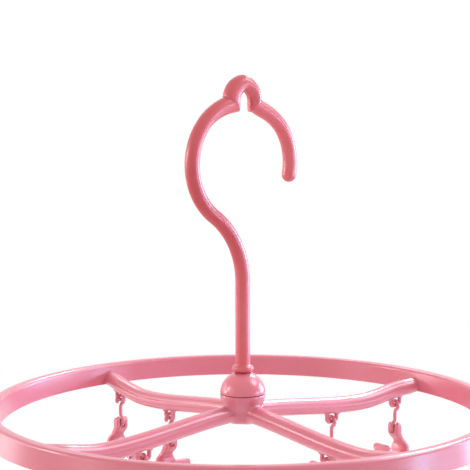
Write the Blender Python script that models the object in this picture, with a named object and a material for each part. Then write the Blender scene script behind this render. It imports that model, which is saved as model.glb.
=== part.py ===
"""Clip drying rack, in metres, +Z up.

A moulded rim on four arms hangs from a wind-proof hook that turns in a ball hub. Each arm has two bails under
it, and in each hangs a link that carries a sprung clip: a back with an eye, a lever and a steel band spring.

The origin is the top of the hook's inside, where it rests on a rail that runs along Y. The hook lies in the
XZ plane with its open end towards +X, and two of the arms lie along X.
"""

import math

import bmesh
import bpy
from mathutils import Matrix, Vector

MM = 0.001

# Clearances
SEAT_GAP = 0.3 * MM  # a piece and what carries it
RUN_GAP = 0.35 * MM  # a pin and what turns round it
CUT_OVERRUN = 2 * MM  # how far a cutter passes the face that it cuts

# Hook
HOOK_ROD_DIAMETER = 7.4 * MM
HOOK_INNER_RADIUS = 27.4 * MM
HOOK_RETURN_RADIUS = 41 * MM  # centreline of the lower bend, which leads into the stem
HOOK_TIP_ANGLE = math.radians(-12)
NOTCH_GAP = 7 * MM
NOTCH_LEG_LENGTH = 0.5 * MM
NOTCH_ARCH_RADIUS = 9.9 * MM  # centreline of each side of the pointed arch
BEAD_DIAMETER = 11 * MM
BEAD_HEIGHT = 3.5 * MM
SHANK_DIAMETER = 7 * MM
HEAD_THICKNESS = 3 * MM

# Hub
RIM_DROP = 147 * MM  # the hook's saddle above the rim's top face
HUB_RISE = 3.4 * MM  # the ball's centre above the rim's top face
BALL_DIAMETER = 23 * MM
BALL_WALL = 2.2 * MM
SPIGOT_WALL = 1.5 * MM
SPIGOT_LENGTH = 2.8 * MM
HUB_WELL = 1.5 * MM  # how far the hub is hollow below the spigot
HUB_FLOOR = 0.5 * MM  # the hub's hollow above the arms' tops
HUB_SKIRT_INSET = 3.5 * MM  # the boss under the ball is this much slimmer than the ball, all round
HUB_FOOT = 0.8 * MM  # how far the boss reaches below the arms
HUB_FOOT_RADIUS = 2.5 * MM

# Rim and arms
RIM_DIAMETER = 262 * MM
RIM_HEIGHT = 11.2 * MM
RIM_CROWN_WIDTH = 6.4 * MM
RIM_FOOT_WIDTH = 8.8 * MM
RIM_CORNER_RADIUS = 2.2 * MM
RIM_WALL = 1.5 * MM
RIM_ROOF = 1.8 * MM
ARM_COUNT = 4
ARM_DIAMETER = 8.8 * MM
ARM_TOP_DEPTH = 8.5 * MM  # the arms' top below the rim's top face, where they are lowest
ARM_SAG_RUN = 38 * MM  # from the rim's inner wall to where the arms are lowest
ARM_RIM_RISE = 4.4 * MM  # how far the arms rise from there to meet the rim
ARM_BOW = 2.2 * MM  # how far the arms bow sideways, anticlockwise from above
ARM_BOW_RUN = 18 * MM  # from the rim's inner wall to where they bow most

# Bails and links
OUTER_CLIP_INSET = 12.5 * MM  # the outer clips from the rim's inner wall
CLIP_SPACING = 48 * MM  # the inner clips from the outer ones
BAIL_ROD_DIAMETER = 2.2 * MM
BAIL_GAP = 4.6 * MM
BAIL_DROP = 4.3 * MM  # the bail's bar, at its axis, below the arm's underside
BAIL_CORNER_RADIUS = 1.8 * MM
LINK_WIRE_DIAMETER = 2 * MM
LINK_BEND_RADIUS = 2.6 * MM
LINK_LENGTH = 12 * MM  # the bail's bar to the clip's eye bar, at their axes
LINK_TIP_ANGLE = math.radians(-20)

# Clip: heights are above or below the fulcrum
CLIP_WIDTH = 12.5 * MM
JAW_TIP_WIDTH = 10.5 * MM
JAW_LENGTH = 31 * MM
JAW_TIP_THICKNESS = 2.4 * MM
JAW_ROOT_THICKNESS = 4 * MM
JAW_GAP = 0.3 * MM
TOOTH_COUNT = 3
TOOTH_PITCH = 2.6 * MM
TOOTH_DEPTH = 0.6 * MM
POCKET_TOP_DROP = 8.5 * MM  # the pocket's top below the fulcrum
POCKET_DEPTH = 1.5 * MM
POCKET_LAND = 2.4 * MM  # the flat between the pocket and the teeth
FACE_OFFSET = 0.9 * MM  # the relieved inner faces beside the fulcrum
FACE_HALF_HEIGHT = 3.2 * MM
RIDGE_RADIUS = 1.6 * MM
HANDLE_THICKNESS = 2.4 * MM
LEVER_HEIGHT = 22.5 * MM
LEVER_ANGLE = math.radians(24)
BACK_HEIGHT = 21 * MM
BACK_ANGLE = math.radians(8)
HANDLE_CORNER_RADIUS = 3.2 * MM
EYE_HEIGHT = 31 * MM
EYE_SHIFT = -0.3 * MM  # the eye bar's axis from the jaws' meeting plane, negative on the lever's side
EYE_BAR_DIAMETER = 2.2 * MM
EYE_LUG_RADIUS = 1.9 * MM
EYE_LUG_WALL = 2 * MM
EYE_SIDE_GAP = 0.7 * MM

# Band spring
BAND_WIDTH = 5 * MM
BAND_THICKNESS = 0.7 * MM
BAND_LOOP_RADIUS = 6.5 * MM
BAND_LOOP_HEIGHT = 3 * MM  # the loop's centre above the fulcrum
BAND_GRIP_DROP = 5 * MM  # where the band starts to bear on the jaws, below the fulcrum
BAND_GRIP_LENGTH = 3.5 * MM
BAND_FLARE = 1 * MM
BAND_SIDE_GAP = 0.4 * MM
BAND_WINDOW_MARGIN = 1.2 * MM  # the handles' windows above the top of the band
BAND_WINDOW_HEIGHT = 6.8 * MM

# Counts and angles that set how round the pieces are
RIM_SEGMENTS = 80
HUB_SEGMENTS = 32
ROD_SIDES = 12
ARM_SIDES = 12
ARM_STEPS = 20
LINK_SIDES = 6
BAR_SIDES = 10
ROUND_END_ANGLES = [math.radians(a) for a in (80, 55, 28)]
SMOOTH_ANGLE = math.radians(35)

# Places that follow from the sizes
ROD_RADIUS = HOOK_ROD_DIAMETER / 2
HOOK_RADIUS = HOOK_INNER_RADIUS + ROD_RADIUS
HOOK_CENTRE_Z = -HOOK_INNER_RADIUS
RIM_TOP_Z = -RIM_DROP
BALL_Z = RIM_TOP_Z + HUB_RISE
BALL_RADIUS = BALL_DIAMETER / 2
BORE_RADIUS = BALL_RADIUS - BALL_WALL
CAVITY_RADIUS = BORE_RADIUS - SEAT_GAP - SPIGOT_WALL
SHANK_RADIUS = SHANK_DIAMETER / 2
SHANK_HOLE_RADIUS = SHANK_RADIUS + RUN_GAP
HEAD_RADIUS = CAVITY_RADIUS - 2 * RUN_GAP
CAVITY_TOP_Z = BALL_Z + CAVITY_RADIUS - BALL_WALL
HEAD_TOP_Z = CAVITY_TOP_Z - SEAT_GAP
RIM_CENTRE_RADIUS = (RIM_DIAMETER - RIM_FOOT_WIDTH) / 2
ARM_RADIUS = ARM_DIAMETER / 2
ARM_LOW_Z = RIM_TOP_Z - ARM_TOP_DEPTH - ARM_RADIUS
ARM_RIM_Z = ARM_LOW_Z + ARM_RIM_RISE
SPIGOT_STEP_Z = BALL_Z - SPIGOT_LENGTH - SEAT_GAP
CAVITY_FLOOR_Z = SPIGOT_STEP_Z - HUB_WELL
ARM_HUB_Z = CAVITY_FLOOR_Z - HUB_FLOOR - ARM_RADIUS
HUB_BOTTOM_Z = ARM_HUB_Z - ARM_RADIUS - HUB_FOOT
SKIRT_RADIUS = BALL_RADIUS - HUB_SKIRT_INSET
BAIL_RADIUS = BAIL_ROD_DIAMETER / 2
WIRE_RADIUS = LINK_WIRE_DIAMETER / 2
TEETH_TOP = TOOTH_PITCH * (TOOTH_COUNT + 1 / 2) - JAW_LENGTH
POCKET_BOTTOM = TEETH_TOP + POCKET_LAND
POCKET_LENGTH = -POCKET_TOP_DROP - POCKET_BOTTOM
BAND_WINDOW_TOP = BAND_LOOP_HEIGHT + BAND_LOOP_RADIUS + BAND_THICKNESS / 2 + BAND_WINDOW_MARGIN
EYE_BAR_RADIUS = EYE_BAR_DIAMETER / 2
EYE_SLOT_WIDTH = LINK_WIRE_DIAMETER + 2 * EYE_SIDE_GAP
NECK_WIDTH = EYE_SLOT_WIDTH + 2 * EYE_LUG_WALL
LINK_EYE_LOOP_RADIUS = EYE_BAR_RADIUS + RUN_GAP + WIRE_RADIUS


def material(name, colour, roughness, metallic=0.0):
    made = bpy.data.materials.new(name)
    made.use_nodes = True
    shader = made.node_tree.nodes["Principled BSDF"]
    shader.inputs["Base Color"].default_value = (*colour, 1.0)
    shader.inputs["Roughness"].default_value = roughness
    shader.inputs["Metallic"].default_value = metallic
    return made


def finished_mesh(name, points, faces):
    """A mesh with outward normals, smooth but for its sharp edges."""
    mesh = bpy.data.meshes.new(name)
    mesh.from_pydata([tuple(p) for p in points], [], faces)
    bm = bmesh.new()
    bm.from_mesh(mesh)
    bmesh.ops.recalc_face_normals(bm, faces=bm.faces)
    bm.to_mesh(mesh)
    bm.free()
    mesh.shade_smooth()
    mesh.set_sharp_from_angle(angle=SMOOTH_ANGLE)
    return mesh


def placed(name, mesh, finish=None, parent=None, location=(0, 0, 0), turn=0.0):
    """An object with this mesh, at a place and a turn about Z that are measured from its parent."""
    made = bpy.data.objects.new(name, mesh)
    bpy.context.scene.collection.objects.link(made)
    made.parent = parent
    made.location = location
    made.rotation_euler = (0, 0, turn)
    if finish is not None:
        mesh.materials.clear()
        mesh.materials.append(finish)
    return made


def helper(name, mesh):
    """A cutter or an addition that a Boolean reads, and that isn't a piece itself."""
    made = placed(name, mesh)
    made.hide_render = True
    made.display_type = "WIRE"
    return made


def boolean(target, tool, operation):
    modifier = target.modifiers.new(operation.title(), "BOOLEAN")
    modifier.operation = operation
    modifier.solver = "EXACT"
    modifier.object = tool


def resolved_mesh(name, base, steps):
    """The mesh that is left when each (mesh, operation) of the steps has been worked on the base mesh."""
    target = placed(name + "_blank", base)
    tools = []
    for number, (mesh, operation) in enumerate(steps):
        tools.append(helper(f"{name}_tool_{number}", mesh))
        boolean(target, tools[-1], operation)
    bpy.context.view_layer.update()
    graph = bpy.context.evaluated_depsgraph_get()
    made = bpy.data.meshes.new_from_object(target.evaluated_get(graph))
    for used in [target, *tools]:
        bpy.data.objects.remove(used)
    made.name = name
    made.materials.clear()
    made.shade_smooth()
    made.set_sharp_from_angle(angle=SMOOTH_ANGLE)
    return made


def arc(centre, radius, start, end, steps):
    """Points of a plane arc, both ends included."""
    angles = [start + (end - start) * i / steps for i in range(steps + 1)]
    return [(centre[0] + radius * math.cos(a), centre[1] + radius * math.sin(a)) for a in angles]


def turned_mesh(name, profile, segments):
    """The solid that a closed (radius, height) profile sweeps about Z. Points on the axis close it there."""
    points = []
    rings = []
    for radius, height in profile:
        if radius == 0:
            rings.append([len(points)] * segments)
            points.append((0, 0, height))
            continue
        rings.append([len(points) + i for i in range(segments)])
        for i in range(segments):
            angle = 2 * math.pi * i / segments
            points.append((radius * math.cos(angle), radius * math.sin(angle), height))
    faces = []
    for this, following in zip(rings, rings[1:] + rings[:1]):
        for i in range(segments):
            corners = [this[i], this[(i + 1) % segments], following[(i + 1) % segments], following[i]]
            face = list(dict.fromkeys(corners))
            if len(face) > 2:
                faces.append(face)
    return finished_mesh(name, points, faces)


def prism_mesh(name, outline, half_depth, to_point):
    """A flat outline extruded both ways. to_point turns (across, up, depth) into x, y and z."""
    count = len(outline)
    points = [to_point(a, b, -half_depth) for a, b in outline] + [to_point(a, b, half_depth) for a, b in outline]
    faces = [list(range(count)), list(range(2 * count - 1, count - 1, -1))]
    faces += [[i, (i + 1) % count, count + (i + 1) % count, count + i] for i in range(count)]
    return finished_mesh(name, points, faces)


def side_view(across, up, depth):
    """An outline drawn across X and up Z, extruded along Y."""
    return (across, depth, up)


def front_view(across, up, depth):
    """An outline drawn across Y and up Z, extruded along X."""
    return (depth, across, up)


def tube_mesh(name, path, radii, sides):
    """A round closed bar along a path, mitred at the path's corners, with a radius for each point."""
    path = [Vector(p) for p in path]
    runs = [(b - a).normalized() for a, b in zip(path, path[1:])]
    across = Vector((0, 1, 0)) if abs(runs[0].y) < 0.9 else Vector((1, 0, 0))
    across = (across - runs[0] * across.dot(runs[0])).normalized()
    up = runs[0].cross(across)
    circle = [across * math.cos(2 * math.pi * i / sides) + up * math.sin(2 * math.pi * i / sides) for i in range(sides)]
    points = [path[0] + radii[0] * spoke for spoke in circle]
    for place, radius, before, after in zip(path[1:-1], radii[1:-1], runs, runs[1:]):
        middle = (before + after).normalized()
        for spoke in circle:
            points.append(place + radius * (spoke - before * (spoke.dot(middle) / before.dot(middle))))
        bend = before.rotation_difference(after)
        circle = [bend @ spoke for spoke in circle]
    points += [path[-1] + radii[-1] * spoke for spoke in circle]
    faces = [list(range(sides)), list(range(len(points) - 1, len(points) - sides - 1, -1))]
    for start in range(0, len(points) - sides, sides):
        for i in range(sides):
            j = (i + 1) % sides
            faces.append([start + i, start + j, start + sides + j, start + sides + i])
    return finished_mesh(name, points, faces)


def bar_mesh(name, start, end, radius, sides):
    return tube_mesh(name, [start, end], [radius, radius], sides)


def return_drop(loop_radius, bend_radius):
    """How far below a loop's centre its return bend meets the straight stem."""
    return math.sqrt(loop_radius**2 + 2 * loop_radius * bend_radius)


def return_bend(loop_radius, bend_radius, steps):
    """The bend that leads from a loop round the origin into a stem straight below it, loop end first."""
    drop = return_drop(loop_radius, bend_radius)
    start = math.atan2(drop, bend_radius)
    return arc((-bend_radius, -drop), bend_radius, start, 0, steps)


def question_mark(loop_radius, bend_radius, tip_angle, loop_steps, bend_steps):
    """A loop round the origin and its return bend, from the free tip to the top of the stem."""
    meeting_angle = math.pi + math.atan2(return_drop(loop_radius, bend_radius), bend_radius)
    loop = arc((0, 0), loop_radius, tip_angle, meeting_angle, loop_steps)
    return loop[:-1] + return_bend(loop_radius, bend_radius, bend_steps)


def hook_path():
    """The hook's centreline in its own plane, from the tip over the pointed notch to the stem's foot."""
    leg_x = NOTCH_GAP / 2 + ROD_RADIUS
    leg_angle = math.acos(leg_x / HOOK_RADIUS)
    arch_centre = (leg_x - NOTCH_ARCH_RADIUS, HOOK_RADIUS * math.sin(leg_angle) + NOTCH_LEG_LENGTH)
    apex_angle = math.acos(-arch_centre[0] / NOTCH_ARCH_RADIUS)
    meeting_angle = math.pi + math.atan2(return_drop(HOOK_RADIUS, HOOK_RETURN_RADIUS), HOOK_RETURN_RADIUS)
    far_arc = arc((0, 0), HOOK_RADIUS, HOOK_TIP_ANGLE, leg_angle, 14)
    far_arch = arc(arch_centre, NOTCH_ARCH_RADIUS, 0, apex_angle, 4)[1:]
    near_arch = [(-x, z) for x, z in reversed(far_arch[:-1])]
    near_arc = arc((0, 0), HOOK_RADIUS, math.pi - leg_angle, meeting_angle, 20)
    bend = return_bend(HOOK_RADIUS, HOOK_RETURN_RADIUS, 8)
    centred = far_arc + far_arch + near_arch + near_arc[:-1] + bend
    return [(x, HOOK_CENTRE_Z + z) for x, z in centred]


def rounded_end(path, radius):
    """The path drawn out at its first point by a half ball, and the radius at each point."""
    end = Vector(path[0])
    out = (end - Vector(path[1])).normalized()
    cap = [tuple(end + out * radius * math.sin(a)) for a in ROUND_END_ANGLES]
    return cap + path, [radius * math.cos(a) for a in ROUND_END_ANGLES] + [radius] * len(path)


def hook_mesh():
    """The bent rod with its bead, and the shank and head that turn inside the hub."""
    neck_top = BALL_Z + math.sqrt(BALL_RADIUS**2 - SHANK_HOLE_RADIUS**2)
    bead_foot = neck_top + RUN_GAP
    bead_middle = bead_foot + BEAD_HEIGHT / 2
    flat_path = [(x, 0, z) for x, z in hook_path()] + [(0, 0, bead_middle)]
    path, radii = rounded_end(flat_path, ROD_RADIUS)
    rod = tube_mesh("rod", path, radii, ROD_SIDES)
    bead_edge = BEAD_HEIGHT / 2
    bead_centre = (BEAD_DIAMETER / 2 - bead_edge, bead_middle)
    bead = arc(bead_centre, bead_edge, -math.pi / 2, math.pi / 2, 6)
    foot = [
        (0, HEAD_TOP_Z - HEAD_THICKNESS),
        (HEAD_RADIUS - RUN_GAP, HEAD_TOP_Z - HEAD_THICKNESS),
        (HEAD_RADIUS, HEAD_TOP_Z - HEAD_THICKNESS + RUN_GAP),
        (HEAD_RADIUS, HEAD_TOP_Z),
        (SHANK_RADIUS, HEAD_TOP_Z),
        (SHANK_RADIUS, bead_foot),
        *bead,
        (0, bead_foot + BEAD_HEIGHT),
    ]
    return resolved_mesh("hook", rod, [(turned_mesh("foot", foot, HUB_SEGMENTS), "UNION")])


def hub_cap_mesh():
    """The ball's upper half, a shell with a neck for the shank and a spigot that enters the lower half."""
    top_angle = math.acos(SHANK_HOLE_RADIUS / BALL_RADIUS)
    spigot_radius = BORE_RADIUS - SEAT_GAP
    joint_z = BALL_Z + SEAT_GAP
    joint_angle = math.asin(SEAT_GAP / BALL_RADIUS)
    profile = [
        *arc((0, BALL_Z), BALL_RADIUS, joint_angle, top_angle, 8),
        (SHANK_HOLE_RADIUS, CAVITY_TOP_Z),
        (CAVITY_RADIUS, CAVITY_TOP_Z),
        (CAVITY_RADIUS, joint_z - SPIGOT_LENGTH),
        (spigot_radius, joint_z - SPIGOT_LENGTH),
        (spigot_radius, joint_z),
    ]
    return turned_mesh("hub_cap", profile, HUB_SEGMENTS)


def hub_cup_profile():
    """The ball's lower half and the boss under it, hollow for the spigot and the hook's head."""
    skirt_angle = -math.acos(SKIRT_RADIUS / BALL_RADIUS)
    foot_centre = (SKIRT_RADIUS - HUB_FOOT_RADIUS, HUB_BOTTOM_Z + HUB_FOOT_RADIUS)
    return [
        (0, CAVITY_FLOOR_Z),
        (CAVITY_RADIUS, CAVITY_FLOOR_Z),
        (CAVITY_RADIUS, SPIGOT_STEP_Z),
        (BORE_RADIUS, SPIGOT_STEP_Z),
        (BORE_RADIUS, BALL_Z),
        *arc((0, BALL_Z), BALL_RADIUS, 0, skirt_angle, 4),
        *reversed(arc(foot_centre, HUB_FOOT_RADIUS, -math.pi / 2, 0, 3)),
        (0, HUB_BOTTOM_Z),
    ]


def rim_half_width(depth):
    """Half of the rim's width at a depth below its top face, on its straight flanks."""
    share = (depth - RIM_CORNER_RADIUS) / (RIM_HEIGHT - RIM_CORNER_RADIUS)
    return (RIM_CROWN_WIDTH + (RIM_FOOT_WIDTH - RIM_CROWN_WIDTH) * share) / 2


def rim_profile():
    """A channel open below, with a rounded crown and flanks that spread towards the foot."""
    crown = RIM_CROWN_WIDTH / 2
    foot = RIM_FOOT_WIDTH / 2
    corner_x = crown - RIM_CORNER_RADIUS
    outline = [(foot, -RIM_HEIGHT)]
    outline += arc((corner_x, -RIM_CORNER_RADIUS), RIM_CORNER_RADIUS, 0, math.pi / 2, 3)
    outline += arc((-corner_x, -RIM_CORNER_RADIUS), RIM_CORNER_RADIUS, math.pi / 2, math.pi, 3)
    outline += [
        (-foot, -RIM_HEIGHT),
        (RIM_WALL - foot, -RIM_HEIGHT),
        (RIM_WALL - crown, -RIM_ROOF),
        (crown - RIM_WALL, -RIM_ROOF),
        (foot - RIM_WALL, -RIM_HEIGHT),
    ]
    return [(RIM_CENTRE_RADIUS + across, RIM_TOP_Z + up) for across, up in outline]


def smooth_step(share):
    return share * share * (3 - 2 * share)


def rim_wall_radius():
    """The radius of the rim's inner flank at the height where the arms meet it."""
    return RIM_CENTRE_RADIUS - rim_half_width(RIM_TOP_Z - ARM_RIM_Z)


def arm_point(radius):
    """A point of the first arm's axis, which sags and bows between the hub and the rim."""
    wall_radius = rim_wall_radius()
    low_radius = wall_radius - ARM_SAG_RUN
    bow_radius = wall_radius - ARM_BOW_RUN
    if radius > low_radius:
        rise = ARM_RIM_RISE * smooth_step((radius - low_radius) / ARM_SAG_RUN)
    else:
        rise = (ARM_HUB_Z - ARM_LOW_Z) * smooth_step(1 - radius / low_radius)
    if radius > bow_radius:
        bow = ARM_BOW * smooth_step((wall_radius - radius) / ARM_BOW_RUN)
    else:
        bow = ARM_BOW * smooth_step(radius / bow_radius)
    return Vector((radius, bow, ARM_LOW_Z + rise))


def arm_turn(number):
    return 2 * math.pi * number / ARM_COUNT


def arm_mesh(number):
    """A round arm from inside the hub's boss to inside the rim's inner wall."""
    wall_radius = rim_wall_radius()
    root_radius = SKIRT_RADIUS - HUB_FOOT_RADIUS
    radii = [root_radius + (wall_radius - root_radius) * i / ARM_STEPS for i in range(ARM_STEPS + 1)]
    path = [arm_point(radius) for radius in radii]
    path.append(Vector((wall_radius + RIM_WALL / 2, 0, ARM_RIM_Z)))
    turn = Matrix.Rotation(arm_turn(number), 3, "Z")
    path = [turn @ p for p in path]
    return tube_mesh("arm", path, [ARM_RADIUS] * len(path), ARM_SIDES)


def clip_radii():
    """The outer and the inner clips' distances from the rack's own axis."""
    outer = rim_wall_radius() - OUTER_CLIP_INSET
    return outer, outer - CLIP_SPACING


def bail_bar_point(radius):
    """The middle of the bar of the first arm's bail at this radius."""
    return arm_point(radius) - Vector((0, 0, ARM_RADIUS + BAIL_DROP))


def bail_mesh(number, radius):
    """Two legs under an arm and a bar between their feet, along the arm, which a link hangs on."""
    reach = BAIL_GAP / 2 + BAIL_RADIUS
    bar = bail_bar_point(radius)
    corner_centre = (reach - BAIL_CORNER_RADIUS, bar.z + BAIL_CORNER_RADIUS)
    corner = arc(corner_centre, BAIL_CORNER_RADIUS, -math.pi / 2, 0, 3)
    path = [(radius - reach, bar.y, arm_point(radius - reach).z)]
    path += [(radius - along, bar.y, z) for along, z in reversed(corner)]
    path += [(radius + along, bar.y, z) for along, z in corner]
    path.append((radius + reach, bar.y, arm_point(radius + reach).z))
    turn = Matrix.Rotation(arm_turn(number), 3, "Z")
    path = [turn @ Vector(p) for p in path]
    return tube_mesh("bail", path, [BAIL_RADIUS] * len(path), BAR_SIDES)


def frame_mesh():
    rim = turned_mesh("rim", rim_profile(), RIM_SEGMENTS)
    cup = turned_mesh("cup", hub_cup_profile(), HUB_SEGMENTS)
    steps = [(arm_mesh(number), "UNION") for number in range(ARM_COUNT)]
    steps += [(cup, "UNION")]
    for number in range(ARM_COUNT):
        steps += [(bail_mesh(number, radius), "UNION") for radius in clip_radii()]
    return resolved_mesh("frame", rim, steps)


def link_mesh():
    """A wire with a loop at each end, a quarter turn apart. The upper loop is round the origin."""
    top_loop_radius = BAIL_RADIUS + RUN_GAP + WIRE_RADIUS
    top = question_mark(top_loop_radius, LINK_BEND_RADIUS, LINK_TIP_ANGLE, 8, 3)
    bottom = question_mark(LINK_EYE_LOOP_RADIUS, LINK_BEND_RADIUS, LINK_TIP_ANGLE, 8, 3)
    path = [(0, y, z) for y, z in top]
    path += [(x, 0, -LINK_LENGTH - z) for x, z in reversed(bottom)]
    return tube_mesh("link", path, [WIRE_RADIUS] * len(path), LINK_SIDES)


def bite_face():
    """The closed jaws' inner face from the tip up to the fulcrum's relief, as (offset, height)."""
    half_gap = JAW_GAP / 2
    face = [(half_gap, -JAW_LENGTH)]
    first_tooth = -JAW_LENGTH + TOOTH_PITCH / 2
    for tooth in range(TOOTH_COUNT):
        foot = first_tooth + tooth * TOOTH_PITCH
        face += [(half_gap, foot), (half_gap + TOOTH_DEPTH, foot + TOOTH_PITCH / 2)]
    face.append((half_gap, TEETH_TOP))
    pocket_steps = 5
    for i in range(pocket_steps + 1):
        share = i / pocket_steps
        depth = POCKET_DEPTH * math.sin(math.pi * share)
        face.append((half_gap + depth, POCKET_BOTTOM + POCKET_LENGTH * share))
    face.append((half_gap, -FACE_HALF_HEIGHT - FACE_OFFSET))
    face.append((FACE_OFFSET, -FACE_HALF_HEIGHT))
    return face


def jaw_back():
    """The jaw's outer face from the fulcrum down to the tip."""
    half_gap = JAW_GAP / 2
    tip = half_gap + JAW_TIP_THICKNESS
    root = half_gap + JAW_ROOT_THICKNESS
    return [
        (root, -POCKET_TOP_DROP),
        ((root + tip) / 2 + JAW_GAP, -(POCKET_TOP_DROP + JAW_LENGTH) / 2),
        (tip, -JAW_LENGTH + JAW_TIP_THICKNESS / 2),
        (tip - JAW_TIP_THICKNESS / 3, -JAW_LENGTH),
    ]


def handle_faces(angle, height):
    """The feet and tops of a handle's inner and outer faces, which lean out from the fulcrum."""
    outwards = HANDLE_THICKNESS / math.cos(angle)
    lean = (height - FACE_HALF_HEIGHT) * math.tan(angle)
    inner_top = (FACE_OFFSET + lean, height)
    outer_top = (FACE_OFFSET + lean + outwards, height)
    inner_foot = (FACE_OFFSET, FACE_HALF_HEIGHT)
    outer_foot = (FACE_OFFSET + outwards, FACE_HALF_HEIGHT)
    return inner_foot, inner_top, outer_top, outer_foot


def front_outline(bottom_width, widths_and_heights, corner_radius):
    """A face seen from the front, symmetrical about the clip's middle, with its top corners rounded."""
    half = [(bottom_width / 2, -JAW_LENGTH), *[(width / 2, height) for width, height in widths_and_heights]]
    top_x, top_z = half.pop()
    corner = arc((top_x - corner_radius, top_z - corner_radius), corner_radius, 0, math.pi / 2, 3)
    half += corner
    return half + [(-x, z) for x, z in reversed(half)]


def box_mesh(low, high):
    """A box between two corners."""
    outline = [(low[0], low[2]), (high[0], low[2]), (high[0], high[2]), (low[0], high[2])]
    middle = (low[1] + high[1]) / 2
    return prism_mesh("box", outline, (high[1] - low[1]) / 2, lambda a, b, d: (a, middle + d, b))


def band_slot(side):
    """The window in a handle that the band spring passes through."""
    half = BAND_WIDTH / 2 + BAND_SIDE_GAP
    reach = BAND_LOOP_RADIUS + HANDLE_THICKNESS + CUT_OVERRUN
    xs = sorted((0.0, side * reach))
    return box_mesh((xs[0], -half, BAND_WINDOW_TOP - BAND_WINDOW_HEIGHT), (xs[1], half, BAND_WINDOW_TOP))


def front_blank(outline):
    reach = CLIP_WIDTH + LEVER_HEIGHT
    return prism_mesh("front", outline, reach, front_view)


def clip_back_mesh():
    """The half that hangs: a jaw outside, a ridge at the fulcrum, a handle and an eye above the handle."""
    inner_foot, inner_top, outer_top, outer_foot = handle_faces(BACK_ANGLE, BACK_HEIGHT)
    ridge_angle = math.acos(FACE_OFFSET / RIDGE_RADIUS)
    ridge = arc((0, 0), RIDGE_RADIUS, 2 * math.pi - ridge_angle, ridge_angle, 8)
    eye = (EYE_SHIFT, EYE_HEIGHT)
    lug_foot_z = EYE_HEIGHT - EYE_LUG_RADIUS - FACE_OFFSET
    lug = arc(eye, EYE_LUG_RADIUS, math.pi, 0, 6)
    outline = [
        *bite_face(),
        *ridge,
        inner_foot,
        inner_top,
        (EYE_SHIFT - EYE_LUG_RADIUS, lug_foot_z),
        *lug,
        (EYE_SHIFT + EYE_LUG_RADIUS, lug_foot_z),
        outer_top,
        outer_foot,
        *jaw_back(),
    ]
    blank = prism_mesh("blank", outline, CLIP_WIDTH / 2, side_view)
    widths = [
        (CLIP_WIDTH, POCKET_BOTTOM),
        (CLIP_WIDTH, BACK_HEIGHT - HANDLE_CORNER_RADIUS),
        (NECK_WIDTH, BACK_HEIGHT + HANDLE_THICKNESS),
        (NECK_WIDTH, EYE_HEIGHT + EYE_LUG_RADIUS + CUT_OVERRUN),
    ]
    front = front_blank(front_outline(JAW_TIP_WIDTH, widths, EYE_LUG_WALL / 2))
    eye_slot_bottom = EYE_HEIGHT - LINK_EYE_LOOP_RADIUS - WIRE_RADIUS - RUN_GAP
    eye_slot = box_mesh(
        (EYE_SHIFT - HANDLE_THICKNESS - CUT_OVERRUN, -EYE_SLOT_WIDTH / 2, eye_slot_bottom),
        (EYE_SHIFT + HANDLE_THICKNESS + CUT_OVERRUN, EYE_SLOT_WIDTH / 2, EYE_HEIGHT + EYE_LUG_RADIUS + CUT_OVERRUN),
    )
    bar_reach = (EYE_SLOT_WIDTH + EYE_LUG_WALL) / 2
    bar_ends = [(EYE_SHIFT, side * bar_reach, EYE_HEIGHT) for side in (-1, 1)]
    bar = bar_mesh("bar", bar_ends[0], bar_ends[1], EYE_BAR_RADIUS, BAR_SIDES)
    steps = [(front, "INTERSECT"), (band_slot(1), "DIFFERENCE"), (eye_slot, "DIFFERENCE"), (bar, "UNION")]
    return resolved_mesh("clip_back", blank, steps)


def clip_lever_mesh():
    """The half that moves: its groove turns on the back's ridge, and its handle leans away."""
    inner_foot, inner_top, outer_top, outer_foot = handle_faces(LEVER_ANGLE, LEVER_HEIGHT)
    groove_radius = RIDGE_RADIUS + RUN_GAP
    groove_angle = math.acos(FACE_OFFSET / groove_radius)
    groove = arc((0, 0), groove_radius, -groove_angle, groove_angle, 6)
    outline = [*bite_face(), *groove, inner_foot, inner_top, outer_top, outer_foot, *jaw_back()]
    mirrored = [(-x, z) for x, z in outline]
    blank = prism_mesh("blank", mirrored, CLIP_WIDTH / 2, side_view)
    widths = [(CLIP_WIDTH, POCKET_BOTTOM), (CLIP_WIDTH, LEVER_HEIGHT)]
    front = front_blank(front_outline(JAW_TIP_WIDTH, widths, HANDLE_CORNER_RADIUS))
    return resolved_mesh("clip_lever", blank, [(front, "INTERSECT"), (band_slot(-1), "DIFFERENCE")])


def band_path():
    """Half of the band spring's middle line, from its flared end to the top of its loop."""
    grip_x = JAW_GAP / 2 + JAW_ROOT_THICKNESS + SEAT_GAP + BAND_THICKNESS / 2
    grip_foot = -BAND_GRIP_DROP - BAND_GRIP_LENGTH
    return [
        (grip_x + BAND_FLARE, grip_foot - 2 * BAND_FLARE),
        (grip_x + BAND_FLARE / 4, grip_foot - BAND_FLARE / 2),
        (grip_x, grip_foot + BAND_FLARE),
        (grip_x, -BAND_GRIP_DROP + BAND_FLARE),
        ((grip_x + BAND_LOOP_RADIUS) / 2, -BAND_GRIP_DROP / 2),
        *arc((0, BAND_LOOP_HEIGHT), BAND_LOOP_RADIUS, math.radians(-15), math.pi / 2, 7),
    ]


def band_mesh():
    """A steel strip that loops over the fulcrum and squeezes both jaws."""
    right = band_path()
    line = [Vector(p) for p in right + [(-x, z) for x, z in reversed(right[:-1])]]
    offsets = []
    for i, _ in enumerate(line):
        run = (line[min(i + 1, len(line) - 1)] - line[max(i - 1, 0)]).normalized()
        offsets.append(Vector((-run.y, run.x)) * BAND_THICKNESS / 2)
    one_side = [tuple(p + o) for p, o in zip(line, offsets)]
    other_side = [tuple(p - o) for p, o in zip(line, offsets)]
    return prism_mesh("clip_spring", one_side + other_side[::-1], BAND_WIDTH / 2, side_view)


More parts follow.
